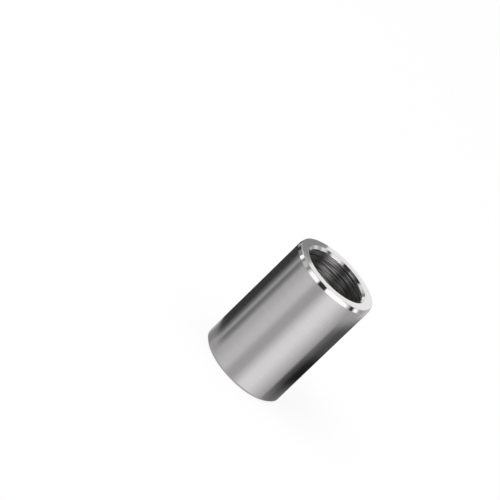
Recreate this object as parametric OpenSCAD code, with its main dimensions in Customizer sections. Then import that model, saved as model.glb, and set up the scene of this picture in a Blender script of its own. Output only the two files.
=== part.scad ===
// Plain press-in bushing: a turned steel sleeve with a straight through bore.
// It stands on its bottom end face, with its axis on +Z and the origin at the
// centre of that face. The top end is the one that enters the housing first,
// so its outer edge has a long shallow lead. All sizes are in millimetres.

/* [Sleeve] */
// Diameter of the straight bore that the shaft runs in
bore_d = 16; // [6:0.1:60]
// Thickness of the wall, from the bore to the outside
wall = 3; // [1.5:0.1:12]
// Length over the two flat end faces
length = 32; // [8:0.5:120]

/* [Press-in lead, top outer edge] */
// Length of the lead along the axis
lead_length = 1; // [0.2:0.05:3]
// Angle between the lead and the axis, in degrees
lead_angle = 15; // [5:1:30]

/* [45 degree chamfers] */
// Leg of the chamfer at the top mouth of the bore
top_mouth_chamfer = 0.6; // [0.1:0.05:1.5]
// Leg of the chamfer at the bottom mouth of the bore
bottom_mouth_chamfer = 0.6; // [0.1:0.05:1.5]
// Leg of the chamfer round the bottom outer edge
bottom_edge_chamfer = 0.6; // [0.1:0.05:1.5]

/* [Hidden] */
$fn = 180;

steel_colour = [0.78, 0.77, 0.76];

bore_r = bore_d / 2;
outer_r = bore_r + wall;
lead_depth = lead_length * tan(lead_angle);

// Half section of the wall, in radius and height. It goes up the bore and
// comes back down the outside, with each chamfer as the line between two points.
function wall_section() = [
    [bore_r + bottom_mouth_chamfer, 0],
    [bore_r, bottom_mouth_chamfer],
    [bore_r, length - top_mouth_chamfer],
    [bore_r + top_mouth_chamfer, length],
    [outer_r - lead_depth, length],
    [outer_r, length - lead_length],
    [outer_r, bottom_edge_chamfer],
    [outer_r - bottom_edge_chamfer, 0],
];

// The whole bush is one turned piece, so it is one revolved section
module bushing() {
    color(steel_colour)
        rotate_extrude()
            polygon(wall_section());
}

bushing();
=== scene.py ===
import math

import bpy
import numpy as np
from mathutils import Matrix, Vector


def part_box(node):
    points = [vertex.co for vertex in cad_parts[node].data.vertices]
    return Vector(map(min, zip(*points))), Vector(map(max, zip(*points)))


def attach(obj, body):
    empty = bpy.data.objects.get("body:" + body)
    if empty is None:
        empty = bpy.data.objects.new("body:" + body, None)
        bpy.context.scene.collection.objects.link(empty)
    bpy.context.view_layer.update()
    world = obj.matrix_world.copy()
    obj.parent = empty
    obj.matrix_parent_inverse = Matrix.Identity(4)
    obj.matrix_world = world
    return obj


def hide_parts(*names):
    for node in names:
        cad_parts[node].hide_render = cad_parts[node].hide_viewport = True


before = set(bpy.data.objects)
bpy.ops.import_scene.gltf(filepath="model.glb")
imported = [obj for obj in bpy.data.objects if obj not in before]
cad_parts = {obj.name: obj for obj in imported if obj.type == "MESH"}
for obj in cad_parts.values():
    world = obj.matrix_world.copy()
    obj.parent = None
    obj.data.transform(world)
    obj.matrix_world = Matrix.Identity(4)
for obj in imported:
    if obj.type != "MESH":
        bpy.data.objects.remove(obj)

MM = 0.001

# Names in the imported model
NODE = "bushing"
BODY = "root"

# The photograph's view: the camera's height above the horizon, and how far it is turned
# about its own axis, so that the upright sleeve leans to the right in the picture
PICTURE_SIDE_PX = 500
VIEW_ELEVATION = math.radians(20.78)
VIEW_ROLL = math.radians(45.46)
SENSOR_WIDTH = 36 * MM
FOCAL_LENGTH = 240 * MM
CAMERA_DISTANCE = 748 * MM
CLIP_START = 10 * MM
CLIP_END = 20.0
# Where the centre of the top end face lies in the picture, from its upper left corner
TOP_CENTRE_PX = (337.35, 274.27)

# Reading the wall's section off the solid's mesh. A ring of the mesh is a corner where the
# section turns by more than this sine. A stretch that strays by less than ALIGNED runs straight
# up or straight across.
LEAST_TURN = 0.05
ALIGNED = 1e-6
LEAST_HEIGHT = 0.001 * MM

# The visual mesh
AROUND = 160
EDGE_RADIUS = 0.15 * MM
EDGE_STEPS = 4
CHART_MARGIN = 0.004
SEED = 11
# Turned stretches: the distance from groove to groove and the depth of a groove, with the
# shares of them that one groove may have, from least to most
BORE_PITCH = 0.45 * MM
BORE_GROOVE = 0.020 * MM
FACE_PITCH = 0.15 * MM
FACE_GROOVE = 0.0006 * MM
STEPS_PER_GROOVE = 4
WIDTH_SHARES = (0.6, 1.4)
DEPTH_SHARES = (0.2, 1.3)

# Steel colours, as linear red, green and blue
STEEL = (0.790, 0.778, 0.776)
STEEL_SHADE = (0.755, 0.742, 0.738)
OUTSIDE_STEEL = (0.792, 0.774, 0.783)
OUTSIDE_SHADE = (0.757, 0.739, 0.747)
# The bore's two colours are painted shade. Its steel is darkened, and its second colour is near
# black, so its tool lines become dark painted streaks. The lines are real; their darkness is painted
# shade inside the bore.
BORE_STEEL_IN_PAINTED_SHADE = (0.570, 0.559, 0.556)
BORE_PAINTED_SHADE = (0.048, 0.047, 0.047)

# How each kind of surface is machined. The tool lines lie one above the other ("height") or one
# outside the other ("radius"). Roughness varies from line to line by the spread, and anisotropy
# stretches a reflection across the lines.
FINISHES = {
    "outside": {
        "name": "ground_outside",
        "lines_along": "height",
        "line_width": 0.06 * MM,
        "line_depth": 0.0002 * MM,
        "roughness": 0.20,
        "spread": 0.03,
        "anisotropy": 0.5,
        "colours": (OUTSIDE_STEEL, OUTSIDE_SHADE),
    },
    "face": {
        "name": "turned_face",
        "lines_along": "radius",
        "line_width": 0.08 * MM,
        "line_depth": 0.0004 * MM,
        "roughness": 0.18,
        "spread": 0.04,
        "anisotropy": 0.5,
        "colours": (STEEL, STEEL_SHADE),
    },
    "chamfer": {
        "name": "bright_chamfer",
        "lines_along": "height",
        "line_width": 0.06 * MM,
        "line_depth": 0.00005 * MM,
        "roughness": 0.06,
        "spread": 0.01,
        "anisotropy": 0.3,
        "colours": (STEEL, STEEL_SHADE),
    },
    # The bore is turned like the rest. Its colours are darkened steel and near-black lines: painted
    # shade inside the bore.
    "bore": {
        "name": "turned_bore_painted_shade",
        "lines_along": "height",
        "line_width": 0.18 * MM,
        "line_depth": 0.002 * MM,
        "roughness": 0.48,
        "spread": 0.10,
        "anisotropy": 0.9,
        "colours": (BORE_STEEL_IN_PAINTED_SHADE, BORE_PAINTED_SHADE),
    },
}
# A tool line fades into another over about LINE_LENGTH. Over these ranges of the line noise, the
# first colour turns into the second one, and the lowest roughness into the highest.
LINE_LENGTH = 6 * MM
LINE_DETAIL = 2.0
COLOUR_RANGE = (0.37, 0.62)
ROUGHNESS_RANGE = (0.3, 0.7)
# A quarter of a turn lays the stretch of a reflection across the lines instead of along them
ACROSS_LINES = 0.25

# Floor and light
FLOOR_SIDE = 6.0
FLOOR_COLOUR = (0.86, 0.86, 0.86)
FLOOR_WHITE_SHARE = 0.85
FLOOR_GRAIN_SCALE = 40.0
FLOOR_GRAIN_DEPTH = 0.02 * MM
WORLD_LEVEL = 0.9
LAMP_SIDE = 0.5
LAMP_POWER = 3.0
LAMP_PLACE = (-0.35, -0.25, 0.75)

# A tent of cards round the part that only reflections see: a bottom, three bands of wall and a
# ceiling with a hole. Each band is a row of panels of (from azimuth, to azimuth, shade), with a
# blend in the gap between two panels. Azimuth 0 is towards the camera and 90 is +X.
CARD_STEPS = 120
BLACK = 0.04
DARK = 0.15
DIM = 0.28
GREY = 0.42
LIGHT = 0.60
PALE = 0.82
WHITE = 1.00
LAMP = 1.25
GLINT = 1.60
TOP_LAMP = 3.0
TENT_RADIUS = 400 * MM
TENT_BOTTOM = -300 * MM
LOW_TOP = -10 * MM
MIDDLE_TOP = 118 * MM
TENT_TOP = 360 * MM
CEILING_HOLE = 90 * MM
BOTTOM_SHADE = LIGHT
LOW_PANELS = [
    (-180, -165, LIGHT), (-140, -115, DIM), (-105, -80, GREY), (-42, -28, LIGHT), (-16, 0, GREY),
    (25, 46, PALE), (88, 122, GREY), (140, 180, LIGHT),
]
MIDDLE_PANELS = [
    (-180, -142, PALE), (-101, -91, LAMP), (-88, -84, DIM), (-78, -65, LIGHT), (-61, -58, DIM),
    (-45, -21, LAMP), (-16, 4, BLACK), (7, 66, LAMP), (82, 88, BLACK), (95, 101, LAMP),
    (111, 162, GREY), (172, 180, PALE),
]
UPPER_PANELS = [
    (-180, -146, WHITE), (-138, -124, LIGHT), (-112, -108, PALE), (-104, -60, BLACK),
    (-37, -31, GLINT), (-22, -6, BLACK), (25, 50, TOP_LAMP), (68, 105, BLACK), (111, 114, WHITE),
    (121, 126, GREY), (134, 139, PALE), (147, 162, GREY), (172, 180, WHITE),
]
CEILING_PANELS = [
    (-180, -103, PALE), (-95, -86, BLACK), (-66, -42, DARK), (-36, 11, BLACK), (19, 28, LIGHT),
    (44, 81, WHITE), (91, 96, DARK), (104, 180, PALE),
]
# Three flags close to the left side, each between a low and a high edge. The outside sees the
# first, the lead sees the second, and the end face sees the third.
LEFT_FLAG_RADIUS = 26 * MM
LEFT_LOW_FLAG = (-3.5 * MM, 26 * MM)
LEFT_LOW_PANELS = [
    (-150, -98, BLACK), (-90, -88, DARK), (-81, -79, GREY), (-73, -71, DARK), (-65, -62, DIM),
]
LEFT_LEAD_FLAG = (26 * MM, 31.9 * MM)
LEFT_LEAD_PANELS = [(-150, -131, DARK), (-127, -121, GREY), (-112, -105, BLACK), (-98, -84, DIM)]
FACE_FLAG_RADIUS = 19 * MM
FACE_FLAG = (33 * MM, 43 * MM)
FACE_FLAG_PANELS = [(-163, -120, DIM)]
# A flag close to the right side, nearly black. The rise lightens it towards its low and its high
# edge: each stop is (share of the flag's height, level to add).
RIGHT_FLAG_RADIUS = 24 * MM
RIGHT_FLAG = (-9 * MM, 23 * MM)
RIGHT_PANELS = [(74, 78, 0.09), (86, 86, 0.06), (97, 125, 0.01), (145, 145, 0.04)]
RIGHT_FLAG_RISE = [
    (0.0, 0.25), (0.3, 0.0), (0.5, 0.0), (0.62, 0.06), (0.87, 0.07), (1.0, 0.36),
]
# The floor under the foot's chamfer and in the bore, which get little light
CARD_LIFT = 0.05 * MM
FOOT_SHADE = 0.40
FOOT_SHADE_WIDTH = 1.2 * MM
BORE_FLOOR = 0.30


def unit(vector):
    return vector / np.linalg.norm(vector)


def outward(direction):
    """Normal of a stretch of the section that runs clockwise in the (radius, height) plane."""
    return np.array([-direction[1], direction[0]])


def turn_between(before, after):
    return math.acos(np.clip(before @ after, -1, 1))


def setback(turn):
    """How far the rounding of an edge reaches along each of the two stretches that meet there."""
    return EDGE_RADIUS * math.tan(turn / 2)


def section_corners(node):
    """Corners of the wall's half section as (radius, height), in order round the section."""
    found = {
        (round(math.hypot(v.co.x, v.co.y) / MM, 3), round(v.co.z / MM, 3))
        for v in node.data.vertices
    }
    rings = np.array(sorted(found)) * MM
    middle = (rings.min(0) + rings.max(0)) / 2
    rings = rings[np.argsort(np.arctan2(*(rings - middle).T))]
    before = rings - np.roll(rings, 1, 0)
    after = np.roll(rings, -1, 0) - rings
    turn = np.abs(before[:, 0] * after[:, 1] - before[:, 1] * after[:, 0])
    straight = np.linalg.norm(before, axis=1) * np.linalg.norm(after, axis=1) * LEAST_TURN
    return rings[turn > straight]


def finish_of(direction, radius, middle_radius):
    """Which finish a stretch has, from its direction and the side of the wall that it is on."""
    if abs(direction[1]) < ALIGNED:
        return "face"
    if abs(direction[0]) < ALIGNED:
        return "bore" if radius < middle_radius else "outside"
    return "chamfer"


class Section:
    """The half section as a run of points, each with its normal and the finish that follows it."""

    def __init__(self):
        self.points, self.normals, self.finishes = [], [], []

    def add(self, point, normal, finish):
        self.points.append(point)
        self.normals.append(unit(normal))
        self.finishes.append(finish)

    def round_edge(self, corner, before, after, finish):
        """Points round an edge. The last of them starts the stretch that has the finish."""
        turn = turn_between(before, after)
        n0, n1 = outward(before), outward(after)
        centre = corner - before * setback(turn) - n0 * EDGE_RADIUS
        for step in range(EDGE_STEPS + 1):
            t = step / EDGE_STEPS
            normal = unit(n0 * math.sin((1 - t) * turn) + n1 * math.sin(t * turn))
            self.add(centre + normal * EDGE_RADIUS, normal, finish if t == 1 else "chamfer")

    def ripple(self, start, end, finish, pitch, depth, rng):
        """Points along a turned stretch, where the tool left one shallow hollow after another."""
        length = np.linalg.norm(end - start)
        along = unit(end - start)
        normal = outward(along)
        count = max(1, round(length / pitch))
        widths = rng.uniform(*WIDTH_SHARES, count)
        widths *= length / widths.sum()
        starts = np.cumsum(widths) - widths
        for k, (low, width) in enumerate(zip(starts, widths)):
            hollow = depth * rng.uniform(*DEPTH_SHARES) * width / pitch
            for step in range(1, STEPS_PER_GROOVE + 1):
                if k == count - 1 and step == STEPS_PER_GROOVE:
                    break
                turn = math.tau * step / STEPS_PER_GROOVE
                drop = hollow * (1 - math.cos(turn)) / 2
                slope = math.pi * hollow * math.sin(turn) / width
                point = start + along * (low + width * step / STEPS_PER_GROOVE) - normal * drop
                self.add(point, normal + along * slope, finish)


def make_section(corners):
    """The half section with its edges rounded and its turned stretches grooved."""
    grooves = {"bore": (BORE_PITCH, BORE_GROOVE), "face": (FACE_PITCH, FACE_GROOVE)}
    rng = np.random.default_rng(SEED)
    section = Section()
    middle_radius = corners[:, 0].mean()
    nexts = np.roll(corners, -1, 0)
    ways = [unit(there - here) for here, there in zip(corners, nexts)]
    for i, (here, there, way) in enumerate(zip(corners, nexts, ways)):
        before, after = ways[i - 1], ways[(i + 1) % len(ways)]
        finish = finish_of(way, here[0], middle_radius)
        section.round_edge(here, before, way, finish)
        if finish in grooves:
            start = here + way * setback(turn_between(before, way))
            end = there - way * setback(turn_between(way, after))
            section.ripple(start, end, finish, *grooves[finish], rng)
    return section


def spin(pairs):
    """Every (radius, height) pair at each step round Z."""
    angles = np.arange(AROUND) * math.tau / AROUND
    wheel = np.stack([np.cos(angles), np.sin(angles)], 1)
    spun = np.empty((len(pairs), AROUND, 3))
    spun[:, :, :2] = pairs[:, None, :1] * wheel[None]
    spun[:, :, 2] = pairs[:, None, 1]
    return spun.reshape(-1, 3).tolist()


def quads(rings):
    """Faces between neighbouring rings of points. The last ring joins the first."""
    ring = np.arange(rings)[:, None]
    step = np.arange(AROUND)[None]
    above = (ring + 1) % rings
    beside = (step + 1) % AROUND
    corners = np.broadcast_arrays(
        ring * AROUND + step,
        above * AROUND + step,
        above * AROUND + beside,
        ring * AROUND + beside,
    )
    return np.stack(corners, -1).reshape(-1, 4).tolist()


def unwrap(mesh, points):
    """One flat chart: U runs round the axis and V along the section."""
    rings = len(points)
    steps = np.linalg.norm(np.roll(points, -1, 0) - points, axis=1)
    along = np.concatenate([[0], np.cumsum(steps)]) / steps.sum()
    ring, step = np.divmod(np.arange(rings * AROUND), AROUND)
    u = np.stack([step, step, step + 1, step + 1], 1) / AROUND
    v = np.stack([along[ring], along[ring + 1], along[ring + 1], along[ring]], 1)
    layer = mesh.uv_layers.new(name="OFBake")
    chart = np.stack([u, v], -1) * (1 - 2 * CHART_MARGIN) + CHART_MARGIN
    layer.uv.foreach_set("vector", chart.astype(np.float32).ravel())


def lathe(name, section, materials):
    """Turns the section about Z into one closed mesh with a finish for each ring of faces."""
    points, normals = np.array(section.points), np.array(section.normals)
    mesh = bpy.data.meshes.new(name)
    mesh.from_pydata(spin(points), [], quads(len(points)))
    kinds = list(materials)
    for kind in kinds:
        mesh.materials.append(materials[kind])
    ring_kinds = np.array([kinds.index(finish) for finish in section.finishes])
    mesh.polygons.foreach_set("material_index", np.repeat(ring_kinds, AROUND))
    mesh.polygons.foreach_set("use_smooth", np.ones(len(mesh.polygons), bool))
    unwrap(mesh, points)
    mesh.normals_split_custom_set_from_vertices(spin(normals))
    mesh.update()
    piece = bpy.data.objects.new(name, mesh)
    bpy.context.scene.collection.objects.link(piece)
    return piece


class Nodes:
    """Short calls for a material's or the world's node tree."""

    def __init__(self, tree):
        self.tree = tree
        tree.nodes.clear()

    def add(self, kind, values=None, **settings):
        node = self.tree.nodes.new(kind)
        for key, value in settings.items():
            setattr(node, key, value)
        for socket, value in (values or {}).items():
            if isinstance(value, bpy.types.NodeSocket):
                self.tree.links.new(value, node.inputs[socket])
            else:
                node.inputs[socket].default_value = value
        return node

    def math(self, operation, *values):
        return self.add("ShaderNodeMath", dict(enumerate(values)), operation=operation).outputs[0]

    def place(self):
        """X, Y and Z of a point in the object's own frame."""
        place = self.add("ShaderNodeTexCoord").outputs["Object"]
        return self.add("ShaderNodeSeparateXYZ", {0: place}).outputs

    def rescaled(self, value, old, new=(0.0, 1.0)):
        """A value carried from its old range over to a new one, and kept inside it."""
        values = {
            "Value": value,
            "From Min": old[0],
            "From Max": old[1],
            "To Min": new[0],
            "To Max": new[1],
        }
        return self.add("ShaderNodeMapRange", values).outputs["Result"]

    def bump(self, height, distance):
        return self.add("ShaderNodeBump", {"Height": height, "Distance": distance}).outputs["Normal"]

    def glow(self, level):
        values = {"Color": (1, 1, 1, 1), "Strength": level}
        return self.add("ShaderNodeEmission", values).outputs[0]

    def levels(self, factor, stops):
        """A level that runs from stop to stop, each a (position, level)."""
        node = self.add("ShaderNodeValToRGB", {"Fac": factor})
        top = max(level for _, level in stops)
        elements = node.color_ramp.elements
        while len(elements) < len(stops):
            elements.new(0.5)
        for element, (position, level) in zip(elements, stops):
            element.position = position
            element.color = (level / top, level / top, level / top, 1)
        return self.math("MULTIPLY", node.outputs["Color"], top)


def new_material(name):
    material = bpy.data.materials.new(name)
    material.use_nodes = True
    return material, Nodes(material.node_tree)


def tool_lines(nodes, lines_along, line_width):
    """Noise in fine lines that run round the axis."""
    x, y, z = nodes.place()
    across = z
    if lines_along == "radius":
        squares = [nodes.math("POWER", side, 2.0) for side in (x, y)]
        across = nodes.math("SQRT", nodes.math("ADD", *squares))
    steps = [(x, 1 / LINE_LENGTH), (y, 1 / LINE_LENGTH), (across, 1 / line_width)]
    scaled = [nodes.math("MULTIPLY", value, scale) for value, scale in steps]
    place = nodes.add("ShaderNodeCombineXYZ", dict(enumerate(scaled))).outputs[0]
    values = {"Vector": place, "Scale": 1.0, "Detail": LINE_DETAIL}
    return nodes.add("ShaderNodeTexNoise", values).outputs["Fac"]


def steel(name, lines_along, line_width, line_depth, roughness, spread, anisotropy, colours):
    """Bare steel whose colour, roughness and height change from one tool line to the next."""
    material, nodes = new_material(name)
    lines = tool_lines(nodes, lines_along, line_width)
    # In the bore, this mix paints shade: the steel is darkened, and the lines between turn near
    # black.
    mix = {"Factor": nodes.rescaled(lines, COLOUR_RANGE)}
    for socket, colour in zip("AB", colours):
        mix[socket] = (*colour, 1)
    mixed = nodes.add("ShaderNodeMix", mix, data_type="RGBA").outputs["Result"]
    rough = nodes.rescaled(lines, ROUGHNESS_RANGE, (roughness - spread, roughness + spread))
    tangent = nodes.add("ShaderNodeTangent", direction_type="RADIAL", axis="Z").outputs["Tangent"]
    shader = nodes.add(
        "ShaderNodeBsdfPrincipled",
        {
            "Base Color": mixed,
            "Metallic": 1.0,
            "Roughness": rough,
            "Anisotropic": anisotropy,
            "Anisotropic Rotation": ACROSS_LINES,
            "Normal": nodes.bump(lines, line_depth),
            "Tangent": tangent,
        },
    )
    nodes.add("ShaderNodeOutputMaterial", {"Surface": shader.outputs["BSDF"]})
    return material


def seen_rays(nodes):
    """1 for the rays that see the background: from the camera, off metal and through glass."""
    path = nodes.add("ShaderNodeLightPath").outputs
    either = nodes.math("MAXIMUM", path["Is Camera Ray"], path["Is Glossy Ray"])
    return nodes.math("MAXIMUM", either, path["Is Transmission Ray"])


def floor_material():
    material, nodes = new_material("pale_floor")
    grain = nodes.add("ShaderNodeTexNoise", {"Scale": FLOOR_GRAIN_SCALE}).outputs["Fac"]
    values = {"Color": (*FLOOR_COLOUR, 1), "Normal": nodes.bump(grain, FLOOR_GRAIN_DEPTH)}
    paper = nodes.add("ShaderNodeBsdfDiffuse", values).outputs[0]
    share = nodes.math("MULTIPLY", seen_rays(nodes), FLOOR_WHITE_SHARE)
    mixed = nodes.add("ShaderNodeMixShader", {0: share, 1: paper, 2: nodes.glow(1.0)}).outputs[0]
    nodes.add("ShaderNodeOutputMaterial", {"Surface": mixed})
    return material


def make_world():
    world = bpy.data.worlds.new("studio")
    world.use_nodes = True
    bpy.context.scene.world = world
    nodes = Nodes(world.node_tree)
    strength = nodes.math("MAXIMUM", seen_rays(nodes), WORLD_LEVEL)
    values = {"Color": (1, 1, 1, 1), "Strength": strength}
    light = nodes.add("ShaderNodeBackground", values).outputs[0]
    nodes.add("ShaderNodeOutputWorld", {"Surface": light})


def plain_card_material(name, level):
    material, nodes = new_material(name)
    nodes.add("ShaderNodeOutputMaterial", {"Surface": nodes.glow(level)})
    return material


def panel_material(name, panels, rise=None):
    """A card's glow, which follows the azimuth. A rise of (low, high, stops) adds to it by height."""
    material, nodes = new_material(name)
    x, y, z = nodes.place()
    azimuth = nodes.math("ARCTAN2", x, nodes.math("MULTIPLY", y, -1.0))
    turn = nodes.math("ADD", nodes.math("DIVIDE", azimuth, math.tau), 0.5)
    ends = [(end, level) for *both, level in panels for end in sorted(set(both))]
    level = nodes.levels(turn, [((angle + 180) / 360, level) for angle, level in ends])
    if rise:
        low, high, stops = rise
        share = nodes.math("DIVIDE", nodes.math("SUBTRACT", z, low), high - low)
        level = nodes.math("ADD", level, nodes.levels(share, stops))
    nodes.add("ShaderNodeOutputMaterial", {"Surface": nodes.glow(level)})
    return material


def stage_object(name, vertices, faces, material):
    mesh = bpy.data.meshes.new(name)
    mesh.from_pydata(vertices, [], faces)
    mesh.materials.append(material)
    piece = bpy.data.objects.new(name, mesh)
    bpy.context.scene.collection.objects.link(piece)
    return piece


def only_in_reflections(piece):
    piece.visible_camera = False
    piece.visible_diffuse = False
    piece.visible_shadow = False
    piece.visible_transmission = False
    piece.visible_volume_scatter = False


def round_card(name, lower, upper, material, span=(-180, 180)):
    """A strip about the axis between two (radius, height) arcs, from one azimuth to another."""
    vertices = [
        (radius * math.sin(turn), -radius * math.cos(turn), height)
        for radius, height in (lower, upper)
        for turn in np.radians(np.linspace(*span, CARD_STEPS + 1))
    ]
    row = CARD_STEPS + 1
    faces = [(k, k + 1, row + k + 1, row + k) for k in range(CARD_STEPS)]
    only_in_reflections(stage_object(name, vertices, faces, material))


def panel_card(name, lower, upper, panels, rise=None):
    """A round card that is as wide as its row of panels."""
    span = (panels[0][0], panels[-1][1])
    round_card(name, lower, upper, panel_material(f"{name}_grey", panels, rise), span)


def make_floor():
    half = FLOOR_SIDE / 2
    corners = [(-half, -half, 0), (half, -half, 0), (half, half, 0), (-half, half, 0)]
    floor = stage_object("floor", corners, [(0, 1, 2, 3)], floor_material())
    floor.visible_glossy = False


def make_tent():
    bottom = plain_card_material("bottom_card_grey", BOTTOM_SHADE)
    round_card("bottom_card", (CARD_LIFT, TENT_BOTTOM), (TENT_RADIUS, TENT_BOTTOM), bottom)
    heights = (TENT_BOTTOM, LOW_TOP, MIDDLE_TOP, TENT_TOP)
    bands = (
        ("low_card", LOW_PANELS),
        ("middle_card", MIDDLE_PANELS),
        ("upper_card", UPPER_PANELS),
    )
    for low, high, (name, panels) in zip(heights, heights[1:], bands):
        panel_card(name, (TENT_RADIUS, low), (TENT_RADIUS, high), panels)
    panel_card("ceiling_card", (TENT_RADIUS, TENT_TOP), (CEILING_HOLE, TENT_TOP), CEILING_PANELS)


def make_flags():
    for name, radius, (low, high), panels, stops in (
        ("left_low_flag", LEFT_FLAG_RADIUS, LEFT_LOW_FLAG, LEFT_LOW_PANELS, None),
        ("left_lead_flag", LEFT_FLAG_RADIUS, LEFT_LEAD_FLAG, LEFT_LEAD_PANELS, None),
        ("face_flag", FACE_FLAG_RADIUS, FACE_FLAG, FACE_FLAG_PANELS, None),
        ("right_flag", RIGHT_FLAG_RADIUS, RIGHT_FLAG, RIGHT_PANELS, RIGHT_FLAG_RISE),
    ):
        rise = (low, high, stops) if stops else None
        panel_card(name, (radius, low), (radius, high), panels, rise)


def make_floor_shades(corners):
    """Grey on the floor under the foot's chamfer and inside the bore."""
    low_radii = corners[corners[:, 1] < LEAST_HEIGHT, 0]
    mouth, foot, outside = low_radii.min(), low_radii.max(), corners[:, 0].max()
    shade = plain_card_material("foot_shade_grey", FOOT_SHADE)
    round_card("foot_shade", (foot - FOOT_SHADE_WIDTH, CARD_LIFT), (outside, CARD_LIFT), shade)
    dark = plain_card_material("bore_floor_grey", BORE_FLOOR)
    round_card("bore_floor", (CARD_LIFT, CARD_LIFT), (mouth, CARD_LIFT), dark)


def make_lamp():
    data = bpy.data.lights.new("soft_lamp", "AREA")
    data.size = LAMP_SIDE
    data.energy = LAMP_POWER
    lamp = bpy.data.objects.new("soft_lamp", data)
    lamp.location = LAMP_PLACE
    lamp.rotation_mode = "QUATERNION"
    lamp.rotation_quaternion = (-Vector(LAMP_PLACE)).to_track_quat("-Z", "Y")
    lamp.visible_glossy = False
    bpy.context.scene.collection.objects.link(lamp)


def make_camera(top_centre):
    """The photograph's camera, placed so that the top end face lies where the picture has it."""
    sine, cosine = math.sin(VIEW_ELEVATION), math.cos(VIEW_ELEVATION)
    level_right, level_up = Vector((1, 0, 0)), Vector((0, sine, cosine))
    back = Vector((0, -cosine, sine))
    right = level_right * math.cos(VIEW_ROLL) + level_up * math.sin(VIEW_ROLL)
    up = level_up * math.cos(VIEW_ROLL) - level_right * math.sin(VIEW_ROLL)
    px = SENSOR_WIDTH / PICTURE_SIDE_PX / FOCAL_LENGTH * CAMERA_DISTANCE
    shift_right = (TOP_CENTRE_PX[0] - PICTURE_SIDE_PX / 2) * px
    shift_up = (PICTURE_SIDE_PX / 2 - TOP_CENTRE_PX[1]) * px
    place = top_centre - right * shift_right - up * shift_up + back * CAMERA_DISTANCE
    turned = Matrix((right, up, back)).transposed().to_4x4()
    data = bpy.data.cameras.new("camera")
    data.sensor_width = SENSOR_WIDTH / MM
    data.lens = FOCAL_LENGTH / MM
    data.clip_start = CLIP_START
    data.clip_end = CLIP_END
    camera = bpy.data.objects.new("camera", data)
    camera.matrix_world = Matrix.Translation(place) @ turned
    bpy.context.scene.collection.objects.link(camera)
    bpy.context.scene.camera = camera


def make_sleeve(corners):
    materials = {kind: steel(**finish) for kind, finish in FINISHES.items()}
    piece = lathe("turned_bushing", make_section(corners), materials)
    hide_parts(NODE)
    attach(piece, BODY)


def main():
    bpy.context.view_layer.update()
    low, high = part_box(NODE)
    bpy.context.scene.view_settings.view_transform = "Standard"
    make_camera(Vector((0, 0, high.z)))
    corners = section_corners(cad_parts[NODE])
    make_sleeve(corners)
    make_floor()
    make_tent()
    make_flags()
    make_floor_shades(corners)
    make_lamp()
    make_world()


main()
